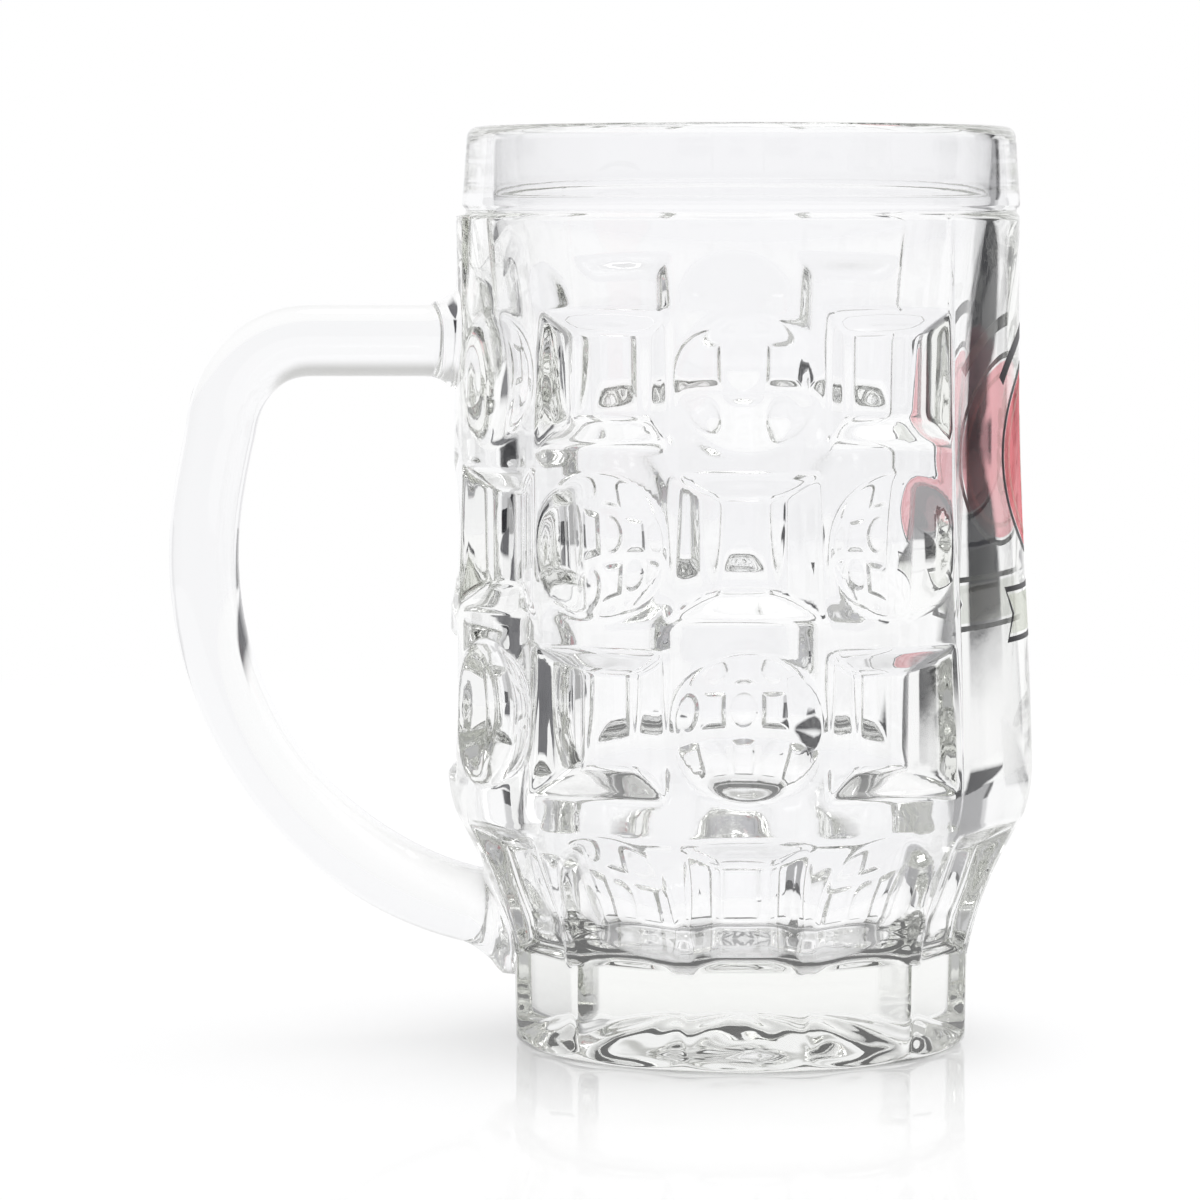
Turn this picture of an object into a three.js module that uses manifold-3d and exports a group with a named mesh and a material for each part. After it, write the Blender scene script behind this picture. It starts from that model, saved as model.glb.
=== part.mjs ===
// A pressed-glass beer mug: a cellular body with a fluted funnel and a twelve-sided foot,
// a D-shaped handle, and a fired enamel print on the smooth panel. Millimetres, +Z up.
// The handle points along -X and the printed panel along +X.
import * as THREE from 'three';
import { mergeVertices } from 'three/addons/utils/BufferGeometryUtils.js';
import Module from 'manifold-3d';

const wasm = await Module();
wasm.setup();

// Sizes of the vessel
const HEIGHT = 155.8;
const RIM_R = 46.5; // rim band at the top
const BAND_R = 47.3; // rim band at the groove
const LIP_ROUND = 1.6;
const GROOVE_Z = 142.3;
const GROOVE_H = 1.6;
const GROOVE_DEPTH = 0.7;
const COLLAR_R = 47.2; // smooth collar and top of the panel
const PANEL_MID_R = 48.7;
const PANEL_MID_Z = 76;
const BELLY_R = 49.9;
const BELLY_Z = 43;
const BELLY_ROUND = 2;
const FUNNEL_INSET = 1.3; // from the belly in to the funnel's top
const FUNNEL_TOP_Z = 39.5;
const FUNNEL_SAG = 1; // the funnel's flank is hollow by this much
const FUNNEL_TOP_R = BELLY_R - FUNNEL_INSET;
const FOOT_TOP_R = 39.8; // at the twelve corners
const FOOT_TOP_Z = 17.2;
const FOOT_R = 39.5; // at the twelve corners
const HEEL_H = 4.3;
const CONTACT_R = 36.2;
const PUSH_UP_R = 29.5;
const PUSH_UP_H = 6.5;

// Sizes of the inside
const BORE_RIM_R = 42.6;
const BORE_GROOVE_R = 42.3;
const BORE_R = 38.6;
const BORE_STEP_Z = 113;
const BORE_LOW_R = 36.9;
const BORE_LOW_Z = 43;
const FLOOR_Z = 16.3;
const FLOOR_R = 32; // where the round of the floor ends
const FLOOR_ROUND = 6;

// Sizes of the cell pattern: twelve columns, of which the panel takes three
const COLUMNS = 12;
const PITCH = (2 * Math.PI) / COLUMNS;
const RIB_TOP_R = 48.2;
const RIB_LOW_R = 49.9;
const RIB_TOP_Z = 127.5;
const RIB_LOW_Z = 42.6;
const RIB_HALF_ANGLE = THREE.MathUtils.degToRad(0.9);
const UPPER_Z = 114.8;
const UPPER_HALF = 10.8;
const UPPER_DEPTH = 3.6;
const UPPER_DISH = 2.7;
const UPPER_FLAT = 7.6;
const MIDDLE_Z = 87.5;
const MIDDLE_HALF = 11.6;
const MIDDLE_DEPTH = 4.3;
const MIDDLE_DISH = 4.3;
const MIDDLE_FLAT = 4.9;
const LOWER_Z = 58.5;
const LOWER_HALF = 11.9;
const LOWER_DEPTH = 4.9;
const LOWER_DISH = 4.9;
const LOWER_FLAT = 5;
// Each row has its height, half its cells' height, the depth of its squares and of its round dishes,
// and half the width of a square's flat
const ROWS = [
  { z: UPPER_Z, half: UPPER_HALF, depth: UPPER_DEPTH, dish: UPPER_DISH, flatHalfW: UPPER_FLAT },
  { z: MIDDLE_Z, half: MIDDLE_HALF, depth: MIDDLE_DEPTH, dish: MIDDLE_DISH, flatHalfW: MIDDLE_FLAT },
  { z: LOWER_Z, half: LOWER_HALF, depth: LOWER_DEPTH, dish: LOWER_DISH, flatHalfW: LOWER_FLAT },
];
const WALL_H = 3.8; // height of a square cell's upper and lower wall
const FRAME_DEPTH = 4.3; // framed flutes
const FRAME_HALF_W = 5.4;
const FRAME_WALL = 4.4;
const ARCH_DEPTH = 3.9; // arched flutes
const ARCH_ROUND = 9; // round of the scoop across its depth
const ARCH_SPREAD = 20; // round of the scoop across its width
const HANDLE_COLUMN = -3; // counted from the front, to the right
const PANEL_COLUMNS = [2, 3, 4];

// Sizes of the handle
const HANDLE_REACH = 97.2; // from the axis to the outside of the grip
const HANDLE_T = 12.5; // from the finger side to the outside
const HANDLE_W = 17;
const HANDLE_EDGE = 2.6; // rounding of the section
const FINGER_TAPER = 1.6; // each flank leans in on the finger side
const FINGER_CREASE = 0.8; // from the middle line to where the lean begins
const HANDLE_TOP_Z = 119.8;
const HANDLE_GRIP_Z = 83;
const HANDLE_LOW_Z = 22.5;
const HANDLE_SHOULDER = 15; // bend below the top bar
const HANDLE_LEAN = 3; // the bend lies inside the grip by this much
const GRIP_PULL = 8; // how long the grip stays upright above its middle
const LOW_BOW = 0.526; // share of the height in which the grip's line stays upright
const LOW_PULL = 25.5; // how far the lower bow runs out from the foot
const LOW_RISE = 4.2; // height of the lower bow at that place
const LOW_SET = 3.1; // the lower end begins this far off the foot
const LOW_RUN = 12; // and runs on into the glass
const LOW_DROP = 1.2; // falling by this much
const TOP_SET = 4; // the top end begins this far inside the wall
const FLARE = 2.4; // growth of the section above and below, at the body
const LOW_FLARE = 2.2; // the same at the lower end
const FLARE_SIDE = 1.4; // growth of the section across the grip, at the body
const FLARE_L = 5;
const PAD_HALF_ANGLE = THREE.MathUtils.degToRad(14);
const PAD_STEP = 0.1; // the pad above the tops of the ribs
const PAD_R = RIB_TOP_R + PAD_STEP;
const PAD_LOW_Z = 105;

// Sizes of the enamel print
const ENAMEL_T = 0.2;
const ENAMEL_GAP = 0.1;
const BADGE_Z = 100;
const BADGE_W = 39;
const BADGE_H = 30;
const LINE_W = 0.9;
const LINE_GAP = 0.5;
const RING_INSET = 1.6;
const EAR_H = 20;
const EAR_PAIRS = 4;
const STEM_W = 1;
const GRAIN_W = 3;
const GRAIN_L = 6;
const GRAIN_OUT = 1.7; // from the stem's middle to a grain's
const EAR_TIP = 2; // from the stem's end to the ear's top
const ARCH_BAND_W = 2.2;
const ARCH_BAND_RISE = 4.2; // from the badge's outline to the arched band
const RIBBON_Z = 74.5;
const RIBBON_W = 42;
const RIBBON_H = 6.5;
const RIBBON_NOTCH = 3;

// Clearances and fineness
const JOINT_GAP = 0.3;
const AROUND = COLUMNS * 4;
const BORE_AROUND = COLUMNS * 4;

// The axis lies beside the middle of the overall width, which is the origin.
const AXIS_X = (HANDLE_REACH - BELLY_R) / 2;

const point = (x, y) => new THREE.Vector2(x, y);

// A round stretch of an outline
function arc(cx, cy, rx, ry, from, to, steps) {
  return new THREE.EllipseCurve(cx, cy, rx, ry, from, to, to < from).getPoints(steps);
}

// A closed solid from a three.js geometry
function solid(geometry) {
  geometry.deleteAttribute('normal');
  geometry.deleteAttribute('uv');
  const merged = mergeVertices(geometry, 1e-4);
  const corners = merged.index.array;
  const faces = [];
  for (let i = 0; i < corners.length; i += 3) {
    const [a, b, c] = corners.subarray(i, i + 3);
    if (a !== b && b !== c && c !== a) faces.push(a, b, c);
  }
  const shape = {
    numProp: 3,
    vertProperties: new Float32Array(merged.attributes.position.array),
    triVerts: new Uint32Array(faces),
  };
  const made = new wasm.Manifold(new wasm.Mesh(shape));
  if (made.volume() > 0) return made;
  shape.triVerts.reverse();
  return new wasm.Manifold(new wasm.Mesh(shape));
}

// A turned solid about the vertical axis, from radius and height points
function turned(outline, around = AROUND, start = 0) {
  const geometry = new THREE.LatheGeometry(outline, around, start);
  geometry.rotateX(Math.PI / 2);
  return solid(geometry);
}

// An upright prism over a plan outline, from one height to another
function prism(plan, low, high) {
  const geometry = new THREE.ExtrudeGeometry(new THREE.Shape(plan), {
    depth: high - low,
    bevelEnabled: false,
  });
  geometry.translate(0, 0, low);
  return solid(geometry);
}

// An upright wedge with its edge on the axis, centred on one direction
function wedge(middle, halfAngle, low, high) {
  const far = 2 * BELLY_R;
  const side = far * Math.tan(halfAngle);
  const plan = [point(0, 0), point(side, -far), point(-side, -far)];
  return prism(plan.reverse(), low, high).rotate([0, 0, THREE.MathUtils.radToDeg(middle)]);
}

// The smooth outside of the collar and panel, from the groove down to the belly
const PANEL = new THREE.SplineCurve([
  point(COLLAR_R, GROOVE_Z - GROOVE_H),
  point(COLLAR_R + 0.2, (GROOVE_Z + PANEL_MID_Z) / 2),
  point(PANEL_MID_R, PANEL_MID_Z),
  point(BELLY_R, BELLY_Z),
]).getPoints(6);

// The rib radius at a height of the cell pattern
function ribRadius(z) {
  const share = (RIB_TOP_Z - z) / (RIB_TOP_Z - RIB_LOW_Z);
  return RIB_TOP_R + (RIB_LOW_R - RIB_TOP_R) * share;
}

// The outside of the body before its cells are cut, grown by a clearance
function bodyBlank(grow) {
  const wide = (p) => point(p.x + grow, p.y);
  const vessel = turned([
    point(0, FOOT_TOP_Z - 4),
    point(FOOT_TOP_R - 4 + grow, FOOT_TOP_Z - 4),
    point(FOOT_TOP_R + grow, FOOT_TOP_Z),
    point((FOOT_TOP_R + FUNNEL_TOP_R) / 2 - FUNNEL_SAG + grow, (FOOT_TOP_Z + FUNNEL_TOP_Z) / 2),
    point(FUNNEL_TOP_R + grow, FUNNEL_TOP_Z),
    point(BELLY_R - BELLY_ROUND * 0.15 + grow, BELLY_Z - BELLY_ROUND * 0.5),
    ...PANEL.toReversed().map(wide),
    point(BAND_R - GROOVE_DEPTH + grow, GROOVE_Z - GROOVE_H / 2),
    point(BAND_R + grow, GROOVE_Z),
    ...arc(RIM_R - LIP_ROUND + grow, HEIGHT - LIP_ROUND, LIP_ROUND, LIP_ROUND, 0, Math.PI / 2, 4),
    point(0, HEIGHT),
  ]);
  const ribs = turned([
    point(BORE_R, RIB_LOW_Z - BELLY_ROUND),
    point(RIB_LOW_R - BELLY_ROUND + grow, RIB_LOW_Z - BELLY_ROUND),
    point(RIB_LOW_R + grow, RIB_LOW_Z),
    point(ribRadius(ROWS[1].z) + grow, ROWS[1].z),
    point(RIB_TOP_R + grow, RIB_TOP_Z - 2),
    point(COLLAR_R - 0.4 + grow, RIB_TOP_Z + 2),
    point(BORE_R, RIB_TOP_Z + 2),
    point(BORE_R, RIB_LOW_Z - BELLY_ROUND),
  ]);
  const panelHalf = (PANEL_COLUMNS.length * PITCH) / 2;
  const pad = turned([
    point(BORE_R, PAD_LOW_Z),
    point(PAD_R + grow, PAD_LOW_Z),
    point(PAD_R + grow, GROOVE_Z - GROOVE_H),
    point(BORE_R, GROOVE_Z - GROOVE_H),
    point(BORE_R, PAD_LOW_Z),
  ]);
  const sector = wedge(HANDLE_COLUMN * PITCH, PAD_HALF_ANGLE, 0, HEIGHT);
  const cut = wedge(PANEL_COLUMNS[1] * PITCH, panelHalf, 0, HEIGHT);
  return vessel.add(ribs.subtract(cut)).add(pad.intersect(sector));
}

// The twelve-sided foot with its rounded heel
function footBlank(grow) {
  const heel = arc(CONTACT_R + grow, HEEL_H, FOOT_R - CONTACT_R, HEEL_H, -Math.PI / 2, 0, 4);
  const outline = [
    point(0, 0),
    ...heel,
    point(FOOT_TOP_R + grow, FOOT_TOP_Z),
    point(0, FOOT_TOP_Z + 2),
  ];
  return turned(outline, COLUMNS, PITCH / 2);
}

// The inside of the vessel, up past the rim
function bore() {
  const turnZ = FLOOR_Z + FLOOR_ROUND;
  const bow = new THREE.QuadraticBezierCurve(
    point(FLOOR_R, turnZ),
    point(BORE_LOW_R * 0.95, turnZ * 0.7 + BORE_LOW_Z * 0.3),
    point(BORE_LOW_R, BORE_LOW_Z),
  ).getPoints(4);
  return turned([
    point(0, FLOOR_Z),
    ...arc(FLOOR_R - FLOOR_ROUND, turnZ, FLOOR_ROUND, FLOOR_ROUND, -Math.PI / 2, -0.3, 4),
    ...bow,
    point(BORE_R, BORE_STEP_Z),
    point(BORE_GROOVE_R, GROOVE_Z),
    point(BORE_RIM_R - 0.3, HEIGHT - LIP_ROUND),
    point(BORE_RIM_R + 0.7, HEIGHT - 0.3),
    point(BORE_RIM_R + 2, HEIGHT + 1),
    point(0, HEIGHT + 1),
  ], BORE_AROUND);
}

// A round cell: a dish whose edge is a circle on the curved wall, facing -Y
function roundCell(row) {
  const radius = ribRadius(row.z);
  const deep = (row.half ** 2 + row.dish ** 2) / (2 * row.dish);
  const centre = radius - row.dish + deep;
  const edgeLevel = Math.sqrt(radius ** 2 - row.half ** 2);
  const wide = row.half / Math.sqrt(1 - ((centre - edgeLevel) / deep) ** 2);
  const geometry = new THREE.SphereGeometry(1, 18, 18);
  geometry.scale(wide, deep, deep);
  geometry.translate(0, -centre, row.z);
  return solid(geometry);
}

// A square cell: a flat with plane side walls and coned upper and lower walls, facing -Y
function squareCell(row) {
  const radius = ribRadius(row.z);
  const flat = radius - row.depth;
  const sideAngle = PITCH / 2 - RIB_HALF_ANGLE;
  const slant = (radius * Math.sin(sideAngle) - row.flatHalfW) / (radius * Math.cos(sideAngle) - flat);
  const clear = 3;
  const outer = row.flatHalfW + slant * (row.depth + clear);
  const plan = [
    point(-row.flatHalfW, -flat),
    point(-outer, -radius - clear),
    point(outer, -radius - clear),
    point(row.flatHalfW, -flat),
  ];
  const flatHalf = row.half - WALL_H;
  const spread = WALL_H / row.depth;
  const inside = flat - 1;
  const ring = turned([
    point(inside, row.z - flatHalf + spread),
    point(radius + clear, row.z - row.half - spread * clear),
    point(radius + clear, row.z + row.half + spread * clear),
    point(inside, row.z + flatHalf - spread),
    point(inside, row.z - flatHalf + spread),
  ]);
  return ring.intersect(prism(plan, row.z - 2 * row.half, row.z + 2 * row.half));
}

// The funnel's slope, and a move that lays a cutter on it, facing -Y
const SLOPE = Math.atan2(FUNNEL_TOP_R - FOOT_TOP_R, FUNNEL_TOP_Z - FOOT_TOP_Z);
const SLOPE_L = Math.hypot(FUNNEL_TOP_R - FOOT_TOP_R, FUNNEL_TOP_Z - FOOT_TOP_Z);

function onFunnel(geometry) {
  geometry.rotateX(Math.PI / 2 + SLOPE);
  geometry.translate(0, -(FUNNEL_TOP_R + FOOT_TOP_R) / 2, (FUNNEL_TOP_Z + FOOT_TOP_Z) / 2);
  return solid(geometry);
}

// A framed flute: a flat below one slanted wall and between two, which runs out over the foot
function framedFlute() {
  const tall = SLOPE_L / 2 - FRAME_WALL;
  const low = -SLOPE_L;
  const half = FRAME_HALF_W;
  const flat = [point(-half, low), point(half, low), point(half, tall), point(-half, tall)];
  const geometry = new THREE.ExtrudeGeometry(new THREE.Shape(flat), {
    depth: 2 * FRAME_DEPTH,
    bevelThickness: FRAME_DEPTH - 0.6,
    bevelSize: FRAME_WALL,
    bevelSegments: 1,
  });
  geometry.translate(0, 0, -0.6);
  return onFunnel(geometry);
}

// An arched flute: a long scoop with a round head that runs out over the foot
function archedFlute() {
  const deep = ARCH_ROUND;
  const centre = deep - ARCH_DEPTH;
  const low = SLOPE_L / 4;
  const long = (SLOPE_L / 2 - 0.5 + low) / Math.sqrt(1 - (centre / deep) ** 2);
  const geometry = new THREE.SphereGeometry(1, 18, 20);
  geometry.rotateX(Math.PI / 2);
  geometry.scale(ARCH_SPREAD, long, deep);
  geometry.translate(0, -low, centre);
  return onFunnel(geometry);
}

// The pressed body: the blank with its cells, flutes, bore and push-up
function glassBody() {
  let body = bodyBlank(0);
  for (let column = 0; column < COLUMNS; column += 1) {
    const turn = [0, 0, column * (360 / COLUMNS)];
    const even = column % 2 === 0;
    const handle = column === HANDLE_COLUMN + COLUMNS;
    const panel = PANEL_COLUMNS.includes(column);
    ROWS.forEach((row, index) => {
      if (panel || (handle && index === 0)) return;
      const round = even === (index % 2 === 0);
      const cutter = round ? roundCell(row) : squareCell(row);
      body = body.subtract(cutter.rotate(turn));
    });
    if (handle) continue;
    const flute = even ? framedFlute() : archedFlute();
    body = body.subtract(flute.rotate(turn));
  }
  const hollow = (PUSH_UP_R ** 2 + PUSH_UP_H ** 2) / (2 * PUSH_UP_H);
  const pushUp = turned([
    point(0, -1),
    point(PUSH_UP_R, -1),
    ...arc(0, PUSH_UP_H - hollow, hollow, hollow, Math.asin(1 - PUSH_UP_H / hollow), Math.PI / 2, 5),
  ], BORE_AROUND);
  return body.add(footBlank(0)).subtract(bore()).subtract(pushUp);
}

// The handle's section: x runs from the finger side to the outside, y across the grip
function handleSection() {
  const shape = new THREE.Shape();
  const wide = HANDLE_W / 2;
  const thick = HANDLE_T / 2;
  const narrow = wide - FINGER_TAPER;
  const edge = HANDLE_EDGE;
  shape.moveTo(thick - edge, -wide);
  shape.quadraticCurveTo(thick, -wide, thick, -wide + edge);
  shape.lineTo(thick, wide - edge);
  shape.quadraticCurveTo(thick, wide, thick - edge, wide);
  shape.lineTo(-FINGER_CREASE, wide);
  shape.lineTo(-thick + edge, narrow);
  shape.quadraticCurveTo(-thick, narrow, -thick, narrow - edge);
  shape.lineTo(-thick, -narrow + edge);
  shape.quadraticCurveTo(-thick, -narrow, -thick + edge, -narrow);
  shape.lineTo(-FINGER_CREASE, -wide);
  shape.closePath();
  return shape;
}

// The middle line of the handle, from inside the collar to inside the foot
function handlePath() {
  const at = (x, z) => new THREE.Vector3(x, 0, z);
  const grip = -(HANDLE_REACH - HANDLE_T / 2);
  const bend = grip + HANDLE_LEAN;
  const bendZ = HANDLE_TOP_Z - HANDLE_SHOULDER;
  const lowRise = HANDLE_GRIP_Z - HANDLE_LOW_Z;
  const lowX = -FOOT_R - LOW_SET;
  const path = new THREE.CurvePath();
  const topX = -BORE_R - TOP_SET;
  path.add(new THREE.LineCurve3(at(topX, HANDLE_TOP_Z), at(bend + HANDLE_SHOULDER, HANDLE_TOP_Z)));
  path.add(new THREE.CubicBezierCurve3(
    at(bend + HANDLE_SHOULDER, HANDLE_TOP_Z),
    at(bend + HANDLE_SHOULDER * 0.4, HANDLE_TOP_Z),
    at(bend + HANDLE_LEAN * 0.2, bendZ + HANDLE_SHOULDER * 0.56),
    at(bend, bendZ),
  ));
  path.add(new THREE.CubicBezierCurve3(
    at(bend, bendZ),
    at(bend - GRIP_PULL * 0.2, bendZ - GRIP_PULL),
    at(grip, HANDLE_GRIP_Z + GRIP_PULL),
    at(grip, HANDLE_GRIP_Z),
  ));
  path.add(new THREE.CubicBezierCurve3(
    at(grip, HANDLE_GRIP_Z),
    at(grip, HANDLE_GRIP_Z - lowRise * LOW_BOW),
    at(lowX - LOW_PULL, HANDLE_LOW_Z + LOW_RISE),
    at(lowX, HANDLE_LOW_Z),
  ));
  path.add(new THREE.LineCurve3(at(lowX, HANDLE_LOW_Z), at(lowX + LOW_RUN, HANDLE_LOW_Z - LOW_DROP)));
  return path;
}

// Widens the section of a swept geometry towards an end that lies on the body
function flare(geometry, end, along, rise) {
  const places = geometry.attributes.position;
  const seat = new THREE.Vector3();
  for (let i = 0; i < places.count; i += 1) {
    seat.fromBufferAttribute(places, i).sub(end);
    const run = seat.dot(along);
    const off = seat.clone().addScaledVector(along, -run);
    const near = Math.min(Math.max(run / FLARE_L + 1, 0), 1.4);
    if (off.length() > HANDLE_W || near === 0) continue;
    const growth = near * near;
    const side = (off.y * growth * FLARE_SIDE) / (HANDLE_W / 2);
    off.y = 0;
    seat.addScaledVector(off, (growth * rise) / (HANDLE_T / 2)).add(end);
    places.setXYZ(i, seat.x, seat.y + side, seat.z);
  }
}

// The handle: one swept bar with flared ends, cut to the body's outside
function handle() {
  const geometry = new THREE.ExtrudeGeometry(handleSection(), {
    steps: 72,
    curveSegments: 3,
    extrudePath: handlePath(),
  });
  const lowIn = new THREE.Vector3(LOW_RUN, 0, -LOW_DROP).normalize();
  flare(geometry, new THREE.Vector3(-PAD_R, 0, HANDLE_TOP_Z), new THREE.Vector3(1, 0, 0), FLARE);
  const footZ = HANDLE_LOW_Z - (LOW_DROP * LOW_SET) / LOW_RUN;
  flare(geometry, new THREE.Vector3(-FOOT_R, 0, footZ), lowIn, LOW_FLARE);
  return solid(geometry).subtract(bodyBlank(JOINT_GAP)).subtract(footBlank(JOINT_GAP));
}

// One layer of enamel on the panel, cut to an outline in width and height
function enamel(outline, layer, holes = []) {
  const lift = ENAMEL_GAP + layer * (ENAMEL_T + ENAMEL_GAP);
  const face = PANEL.map((p) => point(p.x + lift + ENAMEL_T, p.y));
  const back = PANEL.map((p) => point(p.x + lift, p.y));
  const shell = turned([...back, ...face.toReversed(), back[0]]);
  const shape = new THREE.Shape(outline);
  shape.holes = holes.map((hole) => new THREE.Path(hole));
  const geometry = new THREE.ExtrudeGeometry(shape, { depth: 2 * BELLY_R, bevelEnabled: false });
  geometry.rotateX(Math.PI / 2);
  geometry.rotateZ(Math.PI / 2);
  return shell.intersect(solid(geometry));
}

// An oval round the middle of the badge
function oval(grow, steps = 32) {
  return arc(0, BADGE_Z, BADGE_W / 2 + grow, BADGE_H / 2 + grow, 0, 2 * Math.PI, steps).slice(0, -1);
}

// An oval ring of one line width, or a part of it
function arched(grow, width, half) {
  const middle = Math.PI / 2;
  const rx = BADGE_W / 2 + grow;
  const ry = BADGE_H / 2 + grow;
  const over = arc(0, BADGE_Z, rx + width, ry + width, middle - half, middle + half, 24);
  const under = arc(0, BADGE_Z, rx, ry, middle + half, middle - half, 24);
  return [...over, ...under];
}

// An ear of grain: a stem with pairs of leaning grains and one at the tip
function grainEar() {
  const low = BADGE_Z - EAR_H / 2;
  const step = EAR_H / (EAR_PAIRS + 2);
  const tip = BADGE_Z + EAR_H / 2 - EAR_TIP;
  const thin = STEM_W / 2;
  const stem = [point(-thin, low), point(thin, low), point(thin, tip), point(-thin, tip)];
  const grain = (x, z, lean) => arc(0, 0, GRAIN_W / 2, GRAIN_L / 2, 0, 2 * Math.PI, 8).slice(0, -1)
    .map((p) => p.rotateAround(point(0, 0), lean).add(point(x, z)));
  let ear = enamel(stem, 1).add(enamel(grain(0, tip - EAR_TIP / 5, 0), 1));
  for (let pair = 0; pair < EAR_PAIRS; pair += 1) {
    const z = low + step * (pair + 1.4);
    ear = ear.add(enamel(grain(GRAIN_OUT, z, -0.6), 1)).add(enamel(grain(-GRAIN_OUT, z, 0.6), 1));
  }
  return ear;
}

// A ribbon with notched ends below the badge
function ribbon(grow) {
  const wide = RIBBON_W / 2 + grow;
  const tall = RIBBON_H / 2 + grow;
  return [
    point(-wide, RIBBON_Z - tall),
    point(wide, RIBBON_Z - tall),
    point(wide - RIBBON_NOTCH, RIBBON_Z),
    point(wide, RIBBON_Z + tall),
    point(-wide, RIBBON_Z + tall),
    point(-wide + RIBBON_NOTCH, RIBBON_Z),
  ];
}

const mug = new THREE.Group();
mug.position.x = AXIS_X;

// Adds one solid to the mug as a named mesh with its own material
function addPart(name, shape, colour, roughness) {
  const mesh = shape.getMesh();
  const geometry = new THREE.BufferGeometry();
  geometry.setAttribute('position', new THREE.BufferAttribute(mesh.vertProperties, 3));
  geometry.setIndex(new THREE.BufferAttribute(mesh.triVerts, 1));
  geometry.computeVertexNormals();
  const material = new THREE.MeshStandardMaterial({ color: colour, roughness, metalness: 0 });
  const part = new THREE.Mesh(geometry, material);
  part.name = name;
  mug.add(part);
}

const GLASS = 0xeef1f4;
const RED = 0xb3202c;
const CREAM = 0xf1e8cf;
const DARK = 0x2d2c30;
const ARCH_HALF = THREE.MathUtils.degToRad(52);
const OUTLINE = LINE_GAP + LINE_W;
const BAND_LOW = OUTLINE + ARCH_BAND_RISE;

addPart('glass_body', glassBody(), GLASS, 0.03);
addPart('handle', handle(), GLASS, 0.03);
addPart('print_badge', enamel(oval(0), 0), RED, 0.35);
addPart('print_badge_outline', enamel(oval(OUTLINE), 0, [oval(LINE_GAP)]), DARK, 0.35);
addPart('print_badge_ring', enamel(oval(-RING_INSET), 1, [oval(-RING_INSET - LINE_W)]), CREAM, 0.35);
addPart('print_grain_ear', grainEar(), CREAM, 0.35);
addPart('print_arched_band', enamel(arched(BAND_LOW, ARCH_BAND_W, ARCH_HALF), 0), DARK, 0.35);
addPart('print_ribbon', enamel(ribbon(0), 0), CREAM, 0.35);
addPart('print_ribbon_outline', enamel(ribbon(OUTLINE), 0, [ribbon(LINE_GAP)]), DARK, 0.35);

const scene = new THREE.Group();
scene.add(mug);
export default scene;
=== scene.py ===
import math

import bpy
import numpy as np
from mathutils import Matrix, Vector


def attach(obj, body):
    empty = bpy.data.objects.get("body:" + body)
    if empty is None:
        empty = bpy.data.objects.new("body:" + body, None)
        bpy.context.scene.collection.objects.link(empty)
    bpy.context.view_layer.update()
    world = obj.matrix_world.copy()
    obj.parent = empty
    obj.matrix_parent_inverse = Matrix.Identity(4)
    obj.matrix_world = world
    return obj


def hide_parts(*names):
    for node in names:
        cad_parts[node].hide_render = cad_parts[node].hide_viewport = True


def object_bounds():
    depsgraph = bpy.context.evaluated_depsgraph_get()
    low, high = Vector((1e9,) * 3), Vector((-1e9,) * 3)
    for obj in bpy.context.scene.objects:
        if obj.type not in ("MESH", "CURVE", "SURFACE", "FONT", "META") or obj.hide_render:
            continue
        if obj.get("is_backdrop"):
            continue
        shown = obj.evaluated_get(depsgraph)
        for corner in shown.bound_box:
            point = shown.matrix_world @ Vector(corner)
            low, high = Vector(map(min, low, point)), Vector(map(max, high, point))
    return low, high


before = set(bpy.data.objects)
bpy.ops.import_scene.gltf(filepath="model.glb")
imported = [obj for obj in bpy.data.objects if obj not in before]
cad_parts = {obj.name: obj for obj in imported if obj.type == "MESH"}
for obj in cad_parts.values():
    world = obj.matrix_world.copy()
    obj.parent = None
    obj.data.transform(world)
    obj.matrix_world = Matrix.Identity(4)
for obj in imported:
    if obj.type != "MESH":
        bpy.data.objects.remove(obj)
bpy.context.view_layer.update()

# Glass body
# The vessel is clear soda-lime glass, pressed hot into an iron mould and fire-polished after it.
# The mould leaves three rows of round and square cells, a plain panel, a fluted funnel and a
# twelve-sided foot on the outside, and the plunger leaves a smooth inside with a thick floor.
mm = 0.001
axis_x = 23.65
columns = 12
pitch = 2 * math.pi / columns
# Degrees from a column's middle to its edge, closer together where the cells' walls turn
half_column = (0, 1.7, 3.3, 4.6, 5.5, 6.3, 7.3, 8.8, 10.3, 11.6, 12.7, 13.5, 14.2, 15)
column_lines = [-a for a in half_column[:0:-1]] + list(half_column[:-1])
around = columns * len(column_lines)
panel_columns = (2, 3, 4)
handle_column = 9
panel_middle = 3 * pitch
panel_half = 1.5 * pitch
handle_middle = handle_column * pitch
height = 155.8
rim_r = 46.5
band_r = 47.3
lip_out, lip_in = 1.9, 2.1
groove_z, groove_h, groove_r = 142.3, 1.6, 46.7
collar_r, belly_r = 47.2, 49.9
belly_z, panel_top_z = 43.0, 113.0
belly_round = 1.8
rib_top_r, rib_top_z = 48.2, 127.5
rib_low_r, rib_low_z = 49.9, 42.6
rib_fade_up, rib_fade_down = 14, 9
rib_half_angle = math.radians(0.9)
cell_angle = pitch / 2 - rib_half_angle
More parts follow.
